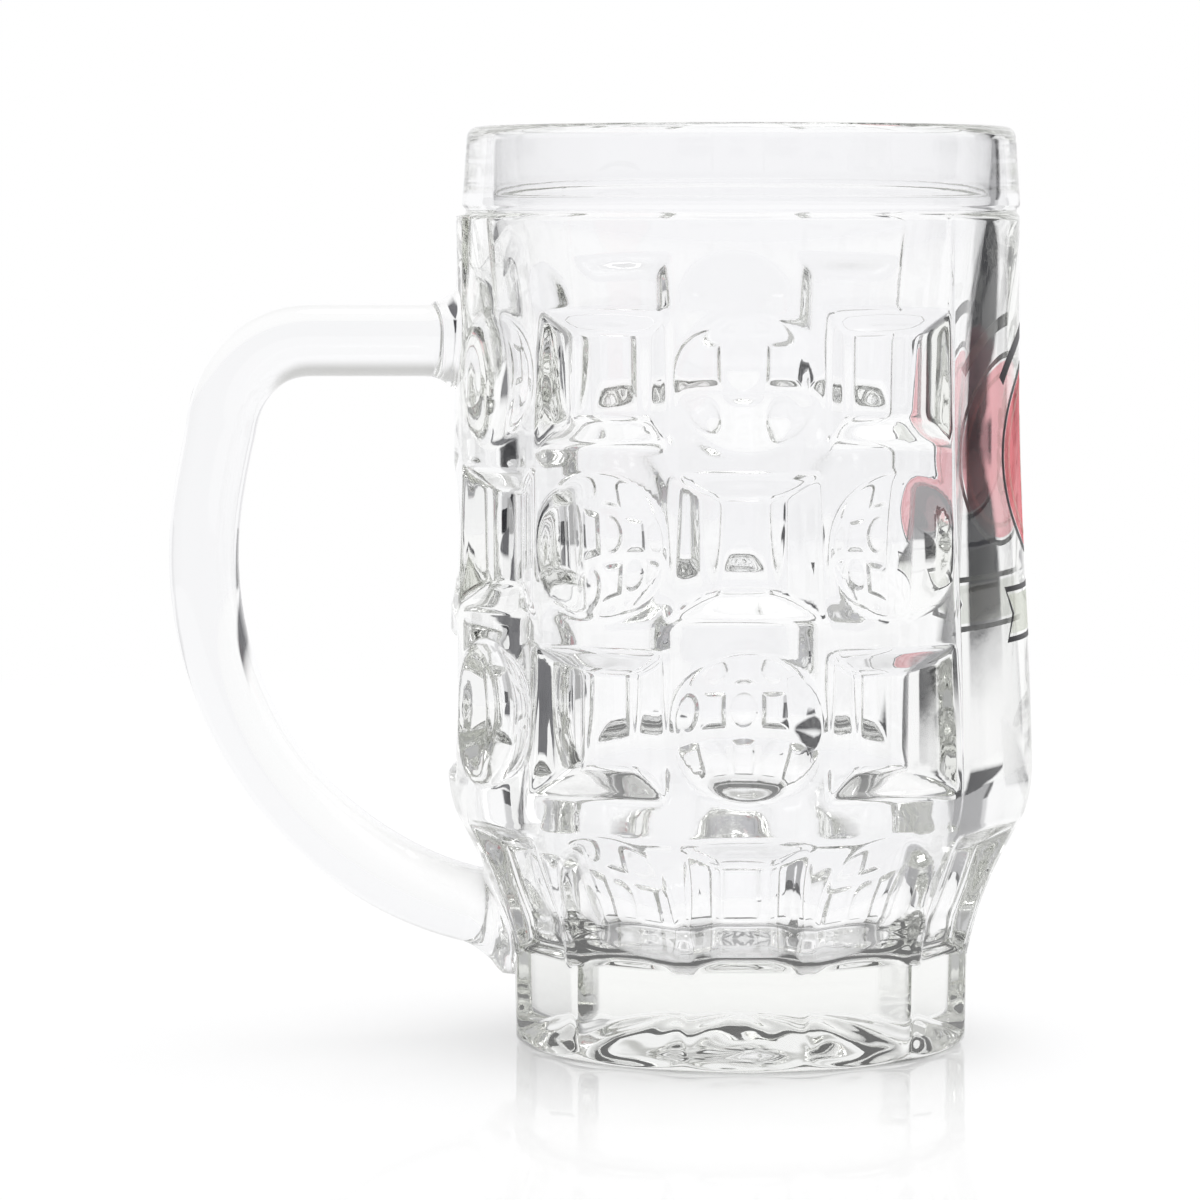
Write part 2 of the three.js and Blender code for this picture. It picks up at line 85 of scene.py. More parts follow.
# For each row: middle, half height, depth of a dish, depth of a flat, half width of a flat
cell_rows = ((114.8, 10.8, 2.7, 3.6, 7.6), (87.5, 11.6, 4.3, 4.3, 4.9), (58.5, 11.9, 4.9, 4.9, 5.0))
wall_h, cell_reach = 3.8, 2.2
cell_edge_round, cell_foot_round, flute_edge_round = 0.8, 0.7, 0.4
funnel_top_r, funnel_top_z, funnel_sag = 48.6, 39.5, 1.0
foot_top_r, foot_top_z, flute_lift = 39.8, 17.2, 1.6
lift_up, lift_down = 8, 1
foot_r, heel_h, contact_r = 39.5, 4.3, 36.2
corner_cut, facet_round, foot_run_in, foot_join = 0.1, 0.3, 1.1, 2
heel_start, heel_round = 0.4, 0.5
push_up_r, push_up_h = 29.5, 6.5
chill_h, chill_calm_r, chill_waves = 0.12, 12, ((5, 0.3), (12, 0), (7, -0.5))
frame_depth, frame_flat, frame_side, frame_wall = 4.3, 5.4, 10.0, 4.4
arch_depth, arch_half_w, arch_top_z = 3.9, 11.8, 39.6
pad_r, pad_low_z, pad_run_out = 48.3, 105.0, 2
pad_half_angle, soft_edge = math.radians(14), math.radians(0.5)
seam_h, seam_angle, seam_half = 0.16, 1.5 * pitch, math.radians(0.6)
slope = math.atan2(funnel_top_r - foot_top_r, funnel_top_z - foot_top_z)
slope_l = math.hypot(funnel_top_r - foot_top_r, funnel_top_z - foot_top_z)


def ease(low, high, x):
    """A smooth step from 0 at low to 1 at high."""
    t = np.clip((x - low) / (high - low), 0, 1)
    return t * t * (3 - 2 * t)


def soft_min(a, b, width):
    """The lesser of two surfaces, with their meeting edge rounded over a width."""
    h = np.clip(0.5 + 0.5 * (b - a) / width, 0, 1)
    return b + (a - b) * h - width * h * (1 - h)


def soft_max(a, b, width):
    """The greater of two surfaces, rounded in the same way."""
    return -soft_min(-a, -b, width)


def smooth_radius(z):
    """The collar and the panel."""
    return belly_r - (belly_r - collar_r) * ease(belly_z, panel_top_z, z)


def rib_radius(z):
    """The straight line of the ribs between the cells."""
    return rib_top_r + (rib_low_r - rib_top_r) * (rib_top_z - z) / (rib_top_z - rib_low_z)


def funnel_line(z):
    """The straight line from the foot to the belly."""
    return foot_top_r + (z - foot_top_z) * math.tan(slope)


def funnel_radius(z):
    """The hollow flank between the belly and the foot."""
    rise = np.clip((z - foot_top_z) / (funnel_top_z - foot_top_z), 0, 1)
    return funnel_line(z) - funnel_sag * 4 * rise * (1 - rise)


def round_cell(side, rise, radius, half, depth):
    """The level of a dish whose edge is a circle on the curved wall."""
    deep = (half**2 + depth**2) / (2 * depth)
    centre = radius - depth + deep
    edge_level = math.sqrt(radius**2 - half**2)
    wide = half / math.sqrt(1 - ((centre - edge_level) / deep) ** 2)
    inside = np.clip(1 - (side / wide) ** 2 - (rise / deep) ** 2, 0, 1)
    return centre - deep * np.sqrt(inside)


def square_cell(side, rise, radius, half, depth, flat_half_w):
    """The level of a flat between two plane side walls and coned upper and lower walls."""
    flat = radius - depth
    edge_side = radius * math.sin(cell_angle)
    steep = (radius * math.cos(cell_angle) - flat) / (edge_side - flat_half_w)
    flank = flat + (np.abs(side) - flat_half_w) * steep
    curved = np.sqrt(np.maximum(radius**2 - side**2, 1))
    brow = flat + (curved - flat) * (np.abs(rise) - half + wall_h) / wall_h
    walls = soft_max(flank, brow, cell_foot_round)
    return soft_max(np.full_like(walls, flat), walls, cell_foot_round)


def framed_flute(side, run, cone):
    """The level of a flat inside two slanted side walls and two end walls on the funnel."""
    flat = cone - frame_depth / math.cos(slope)
    rise = frame_depth - frame_side**2 / (funnel_top_r + foot_top_r)
    flank = flat + (np.abs(side) - frame_flat) * rise / (frame_side - frame_flat)
    end = flat + (run - slope_l / 2 + frame_wall) * frame_depth / frame_wall
    walls = soft_max(flank, end, cell_foot_round)
    return soft_max(flat, walls, cell_foot_round)


def arched_flute(side, run, cone):
    """The depth of a long scoop with a round head that runs out over the foot."""
    head = (arch_top_z - (funnel_top_z + foot_top_z) / 2) / math.cos(slope) - arch_half_w
    across = np.hypot(side, np.maximum(run - head, 0)) / arch_half_w
    return cone - arch_depth * (1 - across**2)


def outside(theta, z):
    """The radius of the pressed outside. The angle is 0 at the front and grows to the right."""
    column = np.round(theta / pitch)
    local = theta - column * pitch
    column = np.mod(column, columns).astype(int)
    even = column % 2 == 0
    on_panel = np.isin(column, panel_columns)
    on_handle = column == handle_column
    turn = np.mod(theta, 2 * math.pi)
    off_panel = ease(panel_half - soft_edge, panel_half + soft_edge, np.abs(turn - panel_middle))
    wall = smooth_radius(z)
    ribs = off_panel * ease(rib_top_z + rib_fade_up, rib_top_z - rib_fade_down, z)
    wall = wall + (rib_radius(z) - wall) * ribs
    pad = ease(pad_half_angle + soft_edge, pad_half_angle - soft_edge, np.abs(turn - handle_middle))
    pad = pad * ease(pad_low_z - pad_run_out, pad_low_z + pad_run_out, z)
    wall = wall + (np.maximum(wall, pad_r) - wall) * pad
    seam = np.maximum(1 - np.abs(np.mod(turn, math.pi) - seam_angle) / seam_half, 0)
    wall = wall + seam_h * seam
    cone = funnel_radius(z)
    wall = soft_min(wall, cone, belly_round)
    shape = wall
    lean = np.cos(local)
    for index, (middle, half, dish_depth, flat_depth, flat_half_w) in enumerate(cell_rows):
        radius = rib_radius(middle)
        rise = z - middle
        reach = wall
        for _ in range(2):
            side = reach * np.sin(local)
            dish = round_cell(side, rise, radius, half, dish_depth)
            box = square_cell(side, rise, radius, half, flat_depth, flat_half_w)
            level = np.where(even == (index % 2 == 0), dish, box)
            reach = np.minimum(level / lean, wall)
        here = (np.abs(rise) < half + cell_reach) & ~on_panel & ~(on_handle & (index == 0))
        pressed = soft_min(wall, level / lean, cell_edge_round)
        shape = np.where(here, np.minimum(shape, pressed), shape)
    run = (z - (funnel_top_z + foot_top_z) / 2) / math.cos(slope)
    line = funnel_line(z) + flute_lift * ease(foot_top_z + lift_up, foot_top_z - lift_down, z)
    side = cone * np.sin(local)
    flute = np.where(even, framed_flute(side, run, line) / lean, arched_flute(side, run, line))
    fluted = soft_min(shape, flute, flute_edge_round)
    shape = np.where((z < belly_z) & ~on_handle, fluted, shape)
    corner = foot_r + (foot_top_r - foot_r) * np.clip((z - heel_h) / (foot_top_z - heel_h), 0, 1)
    facet = corner * math.cos(pitch / 2) / lean
    foot = soft_min(facet, corner - corner_cut, facet_round)
    foot = foot - foot_run_in * np.maximum(z - foot_top_z, 0)
    low = np.clip(1 - z / heel_h, 0, 1)
    heel_curve = contact_r + heel_start + (foot_r - contact_r) * np.sqrt(1 - low**2)
    foot = soft_min(foot, heel_curve, heel_round)
    return np.where(z < foot_top_z - foot_join, foot, soft_max(shape, foot, facet_round))


def quarter(centre, radii, start, end, steps):
    """Points on a quarter of an ellipse, as radius and height."""
    turn = np.linspace(start, end, steps)
    return [(centre[0] + radii[0] * math.cos(t), centre[1] + radii[1] * math.sin(t)) for t in turn]


under_rings, bore_rings, turn_rings, edge_rings, floor_rings = 9, 34, 14, 8, 6
band_rings, band_first, band_last = 6, 0.15, 0.9
lip_out_rings, lip_in_rings, ring_skip, turn_first = 7, 6, 0.2, 0.08
ring_in, funnel_brow = 1.2, 1.5
under = [(r, push_up_h * (1 - (r / push_up_r) ** 2)) for r in np.linspace(0, push_up_r, under_rings)]
heel = [(contact_r - ring_in, 0.0)]
marks = [foot_top_z, funnel_top_z - funnel_brow, rib_low_z, rib_top_z]
for middle, half, *depths in cell_rows:
    marks += [middle - half, middle - half + wall_h, middle + half - wall_h, middle + half]
fine_step, coarse_step, fine_reach, least_step = 0.45, 0.95, 4, 0.2
pressed_z = [0.0, 0.1, 0.25, 0.45, 0.7, 1.0, 1.4, 1.9, 2.4, 2.9, 3.6, heel_h]
while pressed_z[-1] < groove_z - groove_h - least_step:
    near = min(abs(pressed_z[-1] - mark) for mark in marks)
    pressed_z.append(pressed_z[-1] + fine_step + (coarse_step - fine_step) * min(near / fine_reach, 1))
pressed_z[-1] = groove_z - groove_h
corner_in, corner_up, groove_flare, band_edge = 0.15, 0.35, 0.1, 0.3
groove = [(groove_r + corner_in, groove_z - groove_h + corner_up), (groove_r, groove_z - groove_h / 2)]
groove += [(groove_r + groove_flare, groove_z - band_edge), (band_r - corner_in, groove_z),
           (band_r, groove_z + band_edge)]
band_low, band_top = groove_z + band_edge, height - lip_out
band = [(band_r + (rim_r - band_r) * t, band_low + (band_top - band_low) * t)
        for t in np.linspace(band_first, band_last, band_rings)]
lip_r = rim_r - lip_out
lip = quarter((lip_r, band_top), (lip_out, lip_out), 0, math.pi / 2, lip_out_rings)
lip += quarter((lip_r, height - lip_in), (lip_in, lip_in), math.pi / 2 + ring_skip, math.pi, lip_in_rings)
bore_rim_r = lip_r - lip_in
bore_groove_r, bore_r, bore_low_r = 42.3, 38.6, 36.9
bore_step_z, bore_low_z, bore_start, rim_flare_h = 113.0, 43.0, 1.5, 4
step_round, groove_round = 1.2, 0.4
floor_z, floor_edge_r, floor_round = 16.3, 32.0, 6.0
bore = []
for z in np.linspace(height - lip_in - bore_start, bore_low_z, bore_rings):
    share = np.clip((z - bore_low_z) / (bore_step_z - bore_low_z), 0, 1)
    radius = bore_low_r + (bore_r - bore_low_r) * share
    step = (bore_groove_r - bore_r) * (z - bore_step_z) / (groove_z - bore_step_z)
    radius += soft_min(soft_max(step, 0.0, step_round), bore_groove_r - bore_r, groove_round)
    radius += (bore_rim_r - bore_groove_r) * ease(groove_z, height - rim_flare_h, z)
    bore.append((radius, z))
low_r = bore[-1][0]
turn_z = floor_z + floor_round
pull_in, pull_down, pull_out, pull_up = 0.8, 7, 2.5, 5
floor_turn = []
for t in np.linspace(turn_first, 1, turn_rings):
    a, b, c, d = (1 - t) ** 3, 3 * t * (1 - t) ** 2, 3 * t * t * (1 - t), t**3
    floor_turn.append((a * low_r + b * (low_r - pull_in) + c * (floor_edge_r + pull_out) + d * floor_edge_r,
                       a * bore_low_z + b * (bore_low_z - pull_down) + c * (turn_z + pull_up) + d * turn_z))
floor_turn += quarter((floor_edge_r - floor_round, turn_z), (floor_round, floor_round),
                      -ring_skip, -math.pi / 2, edge_rings)
floor_flat = [(r, floor_z) for r in np.linspace(floor_edge_r - floor_round, 0, floor_rings)[1:]]
profile = under + heel + [(None, z) for z in pressed_z] + groove + band + lip + bore
profile += floor_turn + floor_flat


def rolled(name, columns_of_points, rows_of_points, place):
    """A flat grid that is rolled up into a closed skin by moving its points."""
    bpy.ops.object.select_all(action="DESELECT")
    bpy.ops.mesh.primitive_grid_add(
        x_subdivisions=columns_of_points, y_subdivisions=rows_of_points - 1, size=1)
    skin = bpy.context.object
    skin.name = skin.data.name = name
    flat = np.empty(len(skin.data.vertices) * 3)
    skin.data.vertices.foreach_get("co", flat)
    flat = flat.reshape(-1, 3)
    across = np.rint((flat[:, 0] + 0.5) * columns_of_points).astype(int)
    up = np.rint((flat[:, 1] + 0.5) * (rows_of_points - 1)).astype(int)
    skin.data.vertices.foreach_set("co", (place(across, up) * mm).ravel())
    bpy.ops.object.mode_set(mode="EDIT")
    bpy.ops.mesh.select_all(action="SELECT")
    bpy.ops.mesh.remove_doubles(threshold=2e-6)
    bpy.ops.mesh.normals_make_consistent(inside=False)
    bpy.ops.object.mode_set(mode="OBJECT")
    bpy.ops.object.shade_smooth()
    return skin


def body_points(across, up):
    """Places on the skin, ring by ring. The push-up keeps a slight wobble from chilling first."""
    column, line = across // len(column_lines), across % len(column_lines)
    theta = column * pitch + np.radians(np.array(column_lines)[line])
    radius = np.array([r if r is not None else 0.0 for r, z in profile])[up]
    z = np.array([z for r, z in profile])[up]
    first = len(under) + len(heel)
    last = first + len(pressed_z) - 1
    pressed = outside(theta, z)
    radius = np.where((up >= first) & (up <= last), pressed, radius)
    chill = sum(np.sin(waves * theta + twist * radius) for waves, twist in chill_waves)
    inside_ring = (up < len(under) - 1) & (up > 0)
    z = z + np.where(inside_ring, chill_h * chill * np.minimum(radius / chill_calm_r, 1), 0)
    return np.stack((axis_x + radius * np.sin(theta), -radius * np.cos(theta), z), axis=1)


glass_body = rolled("mug_glass_body", around, len(profile), body_points)


class Value:
    """One output socket of a node tree. Sums and products of values add Math nodes."""

    def __init__(self, tree, socket=None):
        self.tree = tree
        self.socket = socket

    def node(self, kind, settings, inputs, output=0):
        made = self.tree.nodes.new(kind)
        for name, setting in settings.items():
            setattr(made, name, setting)
        for name, value in inputs.items():
            if isinstance(value, Value):
                self.tree.links.new(value.socket, made.inputs[name])
            else:
                made.inputs[name].default_value = value
        return Value(self.tree, made.outputs[output] if len(made.outputs) else None)

    def maths(self, operation, first, second=0.0):
        return self.node("ShaderNodeMath", {"operation": operation}, {0: first, 1: second})

    def __add__(self, other):
        return self.maths("ADD", self, other)

    def __sub__(self, other):
        return self.maths("SUBTRACT", self, other)

    def __rsub__(self, other):
        return self.maths("SUBTRACT", other, self)

    def __mul__(self, other):
        return self.maths("MULTIPLY", self, other)

    __radd__ = __add__
    __rmul__ = __mul__


def blank_material(name):
    """A material with no nodes yet, and its tree."""
    material = bpy.data.materials.new(name)
    material.use_nodes = True
    material.node_tree.nodes.clear()
    return material, Value(material.node_tree)


glass_tint, tint_density, ripple_h = (0.972, 0.974, 0.966, 1), 40.0, 0.06


def clear_glass(name, ripple_height):
    """Fire-polished glass: a slow ripple from the mould and a fine chill grain."""
    material, tree = blank_material(name)
    place = tree.node("ShaderNodeTexCoord", {}, {}, "Object")
    ripple = tree.node("ShaderNodeTexNoise", {}, {"Vector": place, "Scale": 110, "Detail": 1.5})
    grain = tree.node("ShaderNodeTexNoise", {}, {"Vector": place, "Scale": 900, "Detail": 2})
    relief = ripple * 0.9 + grain * 0.1
    bump = tree.node("ShaderNodeBump", {},
                     {"Height": relief, "Strength": 0.25, "Distance": ripple_height})
    surface = tree.node("ShaderNodeBsdfPrincipled", {}, {
        "Base Color": (0.995, 0.995, 1, 1),
        "Roughness": grain * 0.02,
        "IOR": 1.52,
        "Transmission Weight": 1.0,
        "Normal": bump,
    })
    depth = tree.node("ShaderNodeVolumeAbsorption", {}, {"Color": glass_tint, "Density": tint_density})
    tree.node("ShaderNodeOutputMaterial", {}, {"Surface": surface, "Volume": depth})
    return material


glass = clear_glass("clear_pressed_glass", ripple_h * mm)
glass_body.data.materials.append(glass)
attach(glass_body, "root")
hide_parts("glass_body")

# Handle
# The handle is a solid bar of the same glass, joined to the body while both are hot.
# Its section is rounded, leans in on the finger side and spreads into both joints.
handle_reach, handle_t, handle_w = 97.2, 12.5, 17.0
handle_top_z, handle_grip_z, handle_low_z = 119.8, 83.0, 22.5
handle_shoulder, handle_lean, grip_pull = 15.0, 3.0, 8.0
shoulder_pull, lean_pull, bend_pull, bow_pull = 0.4, 0.2, 0.56, 0.526
low_set, low_pull, low_rise, low_run, low_drop = 3.1, 25.5, 4.2, 12.0, 1.2
top_flare, low_flare, side_flare, flare_l, flare_most = 2.6, 2.6, 1.6, 5.0, 1.3
root_in = 4
grip_slim, slim_over_bend, slim_under_bend, slim_low, slim_high = 0.9, 14, 4, 4, 30
finger_taper, taper_start, slim_start, finger_edge = 1.6, 1.0, 2, 1
section_power = 3.2
joint_gap = 0.03
strands, rings, cap_rings = 56, 150, 6
stations_along, smoothing = 700, 12
top_steps, bend_steps, grip_steps, bow_steps, low_steps = 60, 60, 50, 140, 40


def bezier(ends, pulls, steps):
    """Points along a curve between two ends, drawn towards two pulls."""
    t = np.linspace(0, 1, steps)[:, None]
    a, b, c, d = (np.array(p) for p in (ends[0], pulls[0], pulls[1], ends[1]))
    return a * (1 - t) ** 3 + 3 * b * t * (1 - t) ** 2 + 3 * c * t * t * (1 - t) + d * t**3


grip_x = -(handle_reach - handle_t / 2)
bend_x, bend_z = grip_x + handle_lean, handle_top_z - handle_shoulder
low_x = -foot_r - low_set
low_bow = bow_pull * (handle_grip_z - handle_low_z)
top_start = (-collar_r + root_in, handle_top_z)
top_end = (bend_x + handle_shoulder, handle_top_z)
bend = (bend_x, bend_z)
grip = (grip_x, handle_grip_z)
low = (low_x, handle_low_z)
middle_line = np.concatenate((
    np.linspace(top_start, top_end, top_steps),
    bezier((top_end, bend), ((bend_x + handle_shoulder * shoulder_pull, handle_top_z),
                             (bend_x + handle_lean * lean_pull, bend_z + handle_shoulder * bend_pull)),
           bend_steps)[1:],
    bezier((bend, grip), ((bend_x - grip_pull * lean_pull, bend_z - grip_pull),
                          (grip_x, handle_grip_z + grip_pull)), grip_steps)[1:],
    bezier((grip, low), ((grip_x, handle_grip_z - low_bow),
                         (low_x - low_pull, handle_low_z + low_rise)), bow_steps)[1:],
    np.linspace(low, (low_x + low_run, handle_low_z - low_drop), low_steps)[1:],
))
along = np.concatenate(([0], np.cumsum(np.hypot(*np.diff(middle_line, axis=0).T))))
even_along = np.linspace(0, along[-1], stations_along)
middle_line = np.stack([np.interp(even_along, along, middle_line[:, i]) for i in (0, 1)], axis=1)
for _ in range(smoothing):
    middle_line[1:-1] = (middle_line[:-2] + 2 * middle_line[1:-1] + middle_line[2:]) / 4
ahead = np.gradient(middle_line, axis=0)
ahead /= np.hypot(ahead[:, 0], ahead[:, 1])[:, None]
outward = np.stack((ahead[:, 1], -ahead[:, 0]), axis=1)
seat = outside(np.full(stations_along, handle_middle), middle_line[:, 1])
centre_gap = np.abs(middle_line[:, 0]) - seat
clear_places = np.where(centre_gap > 0)[0]
top_seat, low_seat = even_along[clear_places[0]], even_along[clear_places[-1]]
top_near = np.clip(1 - (even_along - top_seat) / flare_l, 0, flare_most) ** 2
low_near = np.clip(1 - (low_seat - even_along) / flare_l, 0, flare_most) ** 2
turn = np.arange(strands) / strands * 2 * math.pi
thick = np.sign(np.cos(turn)) * np.abs(np.cos(turn)) ** (2 / section_power) * handle_t / 2
wide = np.sign(np.sin(turn)) * np.abs(np.sin(turn)) ** (2 / section_power)
finger_side = finger_edge - handle_t / 2
wide = wide * (handle_w / 2 - finger_taper * ease(taper_start, finger_side, thick))
tall_growth = 1 + (top_flare * top_near + low_flare * low_near) / (handle_t / 2)
side_growth = 1 + side_flare * (top_near + low_near) / (handle_w / 2)
slim = grip_slim * ease(bend_z + slim_over_bend, bend_z - slim_under_bend, middle_line[:, 1])
slim *= ease(handle_low_z + slim_low, handle_low_z + slim_high, middle_line[:, 1])
depth = thick[:, None] * tall_growth + slim * ease(slim_start, finger_side, thick)[:, None]
bar = np.empty((strands, stations_along, 3))
bar[:, :, 0] = middle_line[:, 0] + depth * outward[:, 0]
bar[:, :, 1] = wide[:, None] * side_growth
bar[:, :, 2] = middle_line[:, 1] + depth * outward[:, 1]


def body_gap(points):
    """How far points about the mug's axis lie outside the body."""
    theta = np.arctan2(points[..., 0], -points[..., 1])
    return np.hypot(points[..., 0], points[..., 1]) - outside(theta, points[..., 2])


def seated(points):
    """The same points moved in or out to lie just off the body."""
    radius = np.hypot(points[..., 0], points[..., 1])
    share = (radius - body_gap(points) + joint_gap) / radius
    return points * np.stack((share, share, np.ones_like(share)), axis=-1)


lengths = np.empty((strands, rings, 3))
for strand in range(strands):
    gap = body_gap(bar[strand]) - joint_gap
    out = np.where(gap > 0)[0]
    first, last = out[0], out[-1]
    start = first - gap[first] / (gap[first] - gap[first - 1])
    end = last + gap[last] / (gap[last] - gap[last + 1])
    stations = np.linspace(start, end, rings)
    for i in range(3):
        lengths[strand, :, i] = np.interp(stations, np.arange(stations_along), bar[strand, :, i])
top_middle = lengths[:, 0].mean(axis=0)
low_middle = lengths[:, -1].mean(axis=0)
top_cap = [seated(top_middle + (lengths[:, 0] - top_middle) * s)
           for s in np.linspace(0, 1, cap_rings)[:-1]]
low_cap = [seated(low_middle + (lengths[:, -1] - low_middle) * s)
           for s in np.linspace(1, 0, cap_rings)[1:]]
handle_rings = np.stack(top_cap + list(lengths.transpose(1, 0, 2)) + low_cap)


def handle_points(across, up):
    """Places on the handle's skin, ring by ring from the upper joint to the lower one."""
    return handle_rings[up, across % strands] + np.array((axis_x, 0, 0))


handle = rolled("mug_handle", strands, len(handle_rings), handle_points)
handle.data.materials.append(glass)
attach(handle, "root")
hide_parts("handle")

# Fired print
# The panel carries an oval badge with an ear of grain, an arched band over it and a ribbon below.
# Each colour is an enamel film, laid on through its own screen and fired into the glass.
film_t, film_gap = 0.06, 0.02
badge_z, badge_w, badge_h = 100.0, 39.0, 30.0
line_w, line_gap, ring_inset = 0.9, 0.5, 1.6
ear_h, ear_pairs, ear_tip, stem_w, stem_share = 20.0, 4, 2.0, 1.0, 0.9
grain_w, grain_l, grain_out, grain_lean, grain_start = 3.0, 6.0, 1.7, 0.6, 1.4
arch_band_w, arch_band_rise, arch_half = 2.2, 4.2, math.radians(52)
ribbon_z, ribbon_w, ribbon_h, ribbon_notch = 74.5, 42.0, 6.5, 3.0
oval_steps, arch_steps, grain_steps = 96, 48, 20
wrap_step = 1.3
red, cream, dark = (0.5, 0.03, 0.04, 1), (0.8, 0.78, 0.66, 1), (0.022, 0.021, 0.026, 1)
red_tint, cream_tint, dark_tint = (0.95, 0.68, 0.7, 1), (0.93, 0.94, 0.92, 1), (0.3, 0.3, 0.31, 1)
red_cover, cream_cover, dark_cover = 0.045, 0.1, 0.7


def oval(grow, start=0.0, end=2 * math.pi, steps=oval_steps):
    """The badge's outline, or a part of it, grown by a width."""
    turns = np.linspace(start, end, steps, endpoint=end - start < 6)
    wide, tall = badge_w / 2 + grow, badge_h / 2 + grow
    return [(wide * math.cos(t), badge_z + tall * math.sin(t)) for t in turns]


def ribbon_outline(grow):
    """A strip with a notch at each end."""
    wide, tall = ribbon_w / 2 + grow, ribbon_h / 2 + grow
    notch = wide - ribbon_notch
    return [(-wide, ribbon_z - tall), (wide, ribbon_z - tall), (notch, ribbon_z),
            (wide, ribbon_z + tall), (-wide, ribbon_z + tall), (-notch, ribbon_z)]


def enamel(name, colour, tint, cover):
    """Fired enamel: a thin film that covers in part and tints the light that comes through it."""
    material, tree = blank_material(name)
    place = tree.node("ShaderNodeTexCoord", {}, {}, "Object")
    cloud = tree.node("ShaderNodeTexNoise", {}, {"Vector": place, "Scale": 260, "Detail": 4})
    speck = tree.node("ShaderNodeTexNoise", {}, {"Vector": place, "Scale": 2600, "Detail": 2})
    pale = tuple(min(1, c * 1.12 + 0.01) for c in colour[:3]) + (1,)
    deep = tuple(c * 0.86 for c in colour[:3]) + (1,)
    shade = tree.node("ShaderNodeMix", {"data_type": "RGBA"},
                      {0: cloud * 0.7 + speck * 0.3, 6: deep, 7: pale}, 2)
    bump = tree.node("ShaderNodeBump", {},
                     {"Height": speck, "Strength": 0.2, "Distance": 0.03 * mm})
    paint = tree.node("ShaderNodeBsdfPrincipled", {}, {
        "Base Color": shade,
        "Roughness": 0.26 + cloud * 0.16,
        "IOR": 1.5,
        "Normal": bump,
    })
    clear = tree.node("ShaderNodeBsdfTransparent", {}, {"Color": tint})
    surface = tree.node("ShaderNodeMixShader", {}, {0: cover * (0.6 + cloud * 0.8), 1: clear, 2: paint})
    tree.node("ShaderNodeOutputMaterial", {}, {"Surface": surface})
    return material


def film(name, outlines, layer, material, node):
    """Outlines in the flat are filled, cut into strips, given a thickness and laid on the panel."""
    bpy.ops.object.select_all(action="DESELECT")
    plan = bpy.data.curves.new(name, "CURVE")
    plan.dimensions = "2D"
    plan.fill_mode = "BOTH"
    for outline in outlines:
        spline = plan.splines.new("POLY")
        spline.points.add(len(outline) - 1)
        spline.points.foreach_set("co", [c for x, y in outline for c in (x, y, 0, 1)])
        spline.use_cyclic_u = True
    piece = bpy.data.objects.new(name, plan)
    bpy.context.collection.objects.link(piece)
    bpy.context.view_layer.objects.active = piece
    piece.select_set(True)
    bpy.ops.object.convert(target="MESH")
    piece = bpy.context.object
    piece.name = piece.data.name = name
    bpy.ops.object.mode_set(mode="EDIT")
    bpy.ops.mesh.select_all(action="SELECT")
    bpy.ops.mesh.remove_doubles(threshold=1e-4)
    reach = max(x for outline in outlines for x, y in outline)
    for cut in np.arange(-reach + wrap_step, reach, wrap_step):
        bpy.ops.mesh.select_all(action="SELECT")
        bpy.ops.mesh.bisect(plane_co=(cut, 0, 0), plane_no=(1, 0, 0))
    bpy.ops.object.mode_set(mode="OBJECT")
    thickness = piece.modifiers.new("thickness", "SOLIDIFY")
    thickness.thickness = film_t
    thickness.offset = 1
    bpy.ops.object.modifier_apply(modifier="thickness")
    flat = np.empty(len(piece.data.vertices) * 3)
    piece.data.vertices.foreach_get("co", flat)
    flat = flat.reshape(-1, 3)
    lift = film_gap + layer * (film_t + film_gap) + flat[:, 2] - flat[:, 2].min()
    theta = panel_middle + flat[:, 0] / smooth_radius(flat[:, 1])
    radius = outside(theta, flat[:, 1]) + lift
    laid = np.stack((axis_x + radius * np.sin(theta), -radius * np.cos(theta), flat[:, 1]), axis=1)
    piece.data.vertices.foreach_set("co", (laid * mm).ravel())
    bpy.ops.object.mode_set(mode="EDIT")
    bpy.ops.mesh.select_all(action="SELECT")
    bpy.ops.mesh.normals_make_consistent(inside=False)
    bpy.ops.object.mode_set(mode="OBJECT")
    bpy.ops.object.shade_smooth_by_angle(angle=math.radians(30))
    piece.data.materials.append(material)
    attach(piece, "root")
    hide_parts(node)


red_enamel = enamel("red_enamel", red, red_tint, red_cover)
cream_enamel = enamel("cream_enamel", cream, cream_tint, cream_cover)
dark_enamel = enamel("dark_enamel", dark, dark_tint, dark_cover)
outline_out = line_gap + line_w
film("mug_badge", [oval(0)], 0, red_enamel, "print_badge")
film("mug_badge_outline", [oval(outline_out), oval(line_gap)], 0, dark_enamel,
     "print_badge_outline")
film("mug_badge_ring", [oval(-ring_inset), oval(-ring_inset - line_w)], 1, cream_enamel,
     "print_badge_ring")


def grain(x, z, lean):
    """One corn of the ear, leaning to a side."""
    turns = np.arange(grain_steps) / grain_steps * 2 * math.pi
    wide, tall = grain_w / 2 * np.cos(turns), grain_l / 2 * np.sin(turns)
    return [(x + w * math.cos(lean) - t * math.sin(lean), z + w * math.sin(lean) + t * math.cos(lean))
            for w, t in zip(wide, tall)]


